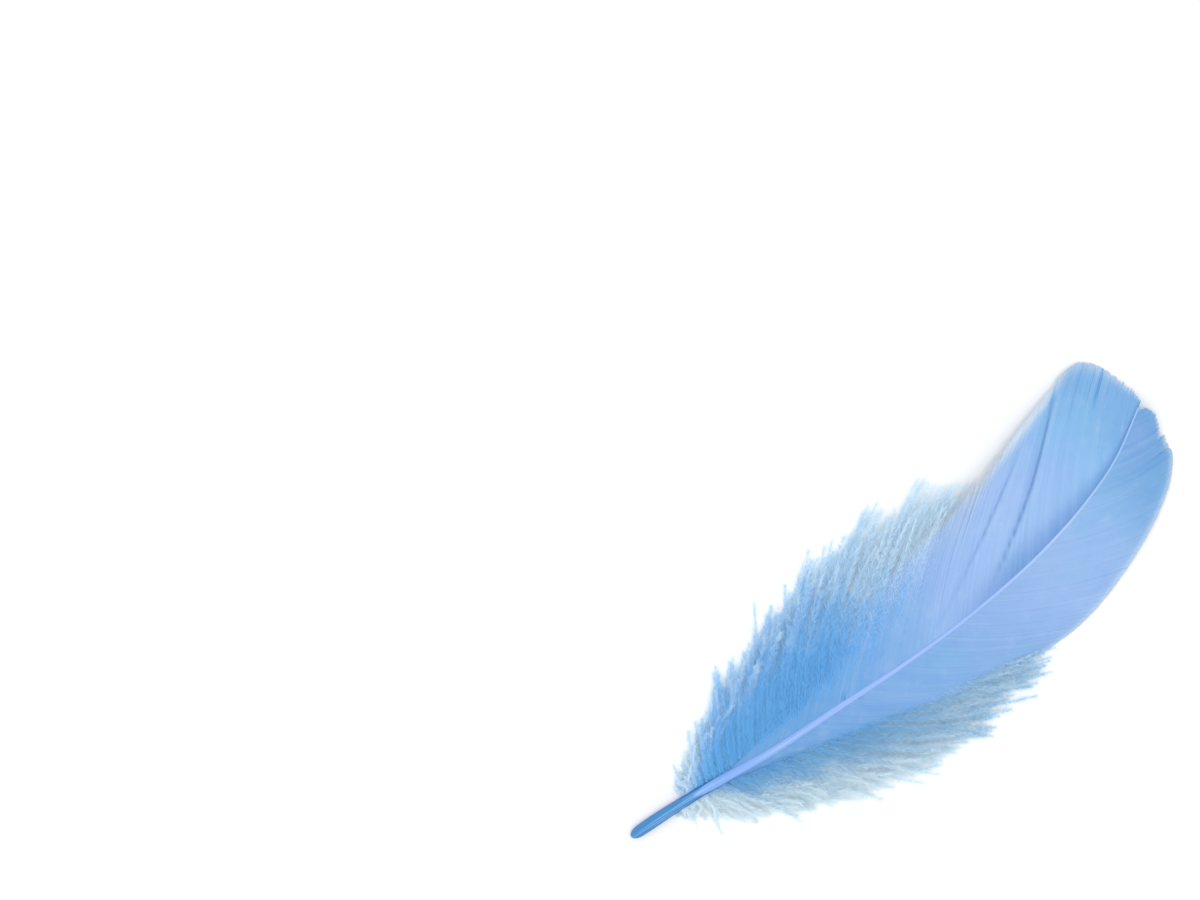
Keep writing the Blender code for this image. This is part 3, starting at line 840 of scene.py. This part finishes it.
def hair_tints(rng, side, station, at):
    """Paler with the share at which a hair leaves its thread, and paler by the quill. Beside
    the right vane that changes less, and the left side is deeper between quill and vane."""
    beside = smooth_step(station, 33.0, 50.0) * (side > 0)
    tint = at + (0.55 - at) * 0.45 * beside[:, None] + rng.normal(0.03, 0.12, at.shape)
    if side > 0:
        paler = 0.7 * smooth_step(station, 26.0, 15.0) - 0.15 * beside
    else:
        paler = 0.6 * smooth_step(station, 24.0, 15.0) + 0.38 * smooth_step(station, 38.0, 62.0)
        paler = paler - 0.25
    return (tint + paler[:, None]).ravel()


def hair_spikes(rng, side, station, thread, radius):
    """Three points round each hair's foot, the point at its end, and its tint.

    A hair goes heading + out across + rise up, made one long. The feet crowd towards a thread's
    end: evenly spread shares are raised to a power below one.
    """
    crowding = 0.85 - 0.35 * smooth_step(station, 25.0, 50.0)
    at = np.sort(rng.uniform(0.01, 1.0, (len(station), HAIRS_A_THREAD)), axis=1) ** crowding[:, None]
    foot = thread(at)
    heading = unit(thread(at + HEADING_STEP) - foot)
    across = unit(np.cross(heading, UP))
    out = np.where(np.arange(HAIRS_A_THREAD) % 2, 1.0, -1.0) * rng.uniform(0.15, 1.3, at.shape)
    rise = rng.normal(0.25, 0.7, at.shape) * (0.3 + 0.4 * smooth_step(at, 0.4, 0.8))
    way = unit(heading + across * out[..., None] + rise[..., None] * UP)
    length = rng.uniform(*HAIR_LENGTH, at.shape) * hair_share(side, station, at)
    first = unit(np.cross(way, UP))
    feet = foot[:, :, None] + radius * three_round(first, np.cross(way, first))
    ends = foot + way * length[..., None]
    ends[..., 2] = np.maximum(ends[..., 2], HAIR_LOWEST)
    return feet.reshape(-1, 3), ends.reshape(-1, 3), hair_tints(rng, side, station, at)


def down_piece(name, table, side, seed, below, sag, end_height, reach, hair_radius):
    """One layer of down on one side: the tubes of its threads and the spikes of its hairs."""
    rng = np.random.default_rng(seed)
    station, thread = thread_lines(rng, table, side, below, sag, end_height, reach)
    tubes, tube_tint = thread_tubes(thread, len(station))
    feet, ends, hair_tint = hair_spikes(rng, side, station, thread, hair_radius)
    faces = strand_faces(len(station), THREAD_RINGS, 3)
    faces += [group + len(tubes) for group in strand_faces(len(ends), 1, 3)[1:]]
    tint = np.concatenate((tube_tint, np.repeat(hair_tint, 3), hair_tint + 0.3))
    finish = right_down_dye if side > 0 else left_down_dye
    uv = np.stack((tint, 0 * tint), -1)
    mesh_piece(name, np.concatenate((tubes, feet, ends)), faces, uv, tint, finish)


for row in DOWN_PIECES:
    down_piece(*row)

# %% [markdown]
# ## Floor, light and camera
# The feather was photographed from straight above on a white surface, under very soft light. A
# white plane, a bright world and one wide area lamp almost overhead give that. Several lamps
# would too, but each would add a shadow. The camera is turned so that the feather lies across the
# picture as it does in the photograph, and its lens is long, because nothing there looks nearer.

# %% The stage
PICTURE_MIDDLE = (-0.07363, -0.0240)  # what the middle of the picture looks at
PICTURE_WIDTH = 0.258
LENS, SENSOR = 200.0, 36.0
TURN = 50.0  # degrees between the picture's upright and the feather's own
FLOOR_SIZE = 6.0
LAMP_AT = (0.14, 0.05, 1.8)
LAMP_WIDTH, LAMP_POWER = 0.8, 7.6
SKY = 0.96  # the white world's strength
MIDDLE_HEIGHT = 0.003  # PICTURE_WIDTH is measured at this height in the feather


def white_floor():
    """A wide matt plane that the feather lies on."""
    bpy.ops.mesh.primitive_plane_add(size=FLOOR_SIZE, location=(0.0, 0.0, 0.0))
    floor = bpy.context.object
    floor.name = "floor"
    material, tree, shader = finish_named("white_floor", 0.9)
    place = node(tree, "ShaderNodeTexCoord").outputs["Object"]
    grain = noise(tree, place, 900.0)
    colour = mixed(tree, grain, (0.92, 0.93, 0.95, 1.0), (0.95, 0.96, 0.97, 1.0))
    tree.links.new(colour, shader.inputs["Base Color"])
    shader.inputs["Specular IOR Level"].default_value = 0.1
    floor.data.materials.append(material)


def soft_light():
    """A white world, and a round area lamp that faces the feather from a little to the side."""
    world = bpy.data.worlds.new("soft_white")
    world.use_nodes = True
    background = world.node_tree.nodes["Background"]
    background.inputs["Color"].default_value = (1.0, 1.0, 1.0, 1.0)
    background.inputs["Strength"].default_value = SKY
    bpy.context.scene.world = world
    lamp = bpy.data.lights.new("window", "AREA")
    lamp.shape = "DISK"
    lamp.size = LAMP_WIDTH
    lamp.energy = LAMP_POWER
    holder = bpy.data.objects.new("window", lamp)
    holder.location = LAMP_AT
    facing = -holder.location.normalized()
    holder.rotation_euler = facing.to_track_quat("-Z", "Y").to_euler()
    bpy.context.scene.collection.objects.link(holder)


def overhead_camera():
    """Straight down, at the height from which the lens takes in PICTURE_WIDTH."""
    lens = bpy.data.cameras.new("overhead")
    lens.lens = LENS
    lens.sensor_width = SENSOR
    lens.clip_start = 0.01
    camera = bpy.data.objects.new("overhead", lens)
    height = PICTURE_WIDTH * LENS / SENSOR + MIDDLE_HEIGHT
    camera.location = (*PICTURE_MIDDLE, height)
    camera.rotation_euler = (0.0, 0.0, math.radians(TURN))
    bpy.context.scene.collection.objects.link(camera)
    bpy.context.scene.camera = camera
    print("camera", round(height, 4), "m above the floor")


white_floor()
soft_light()
overhead_camera()
bpy.context.scene.view_settings.view_transform = "Standard"
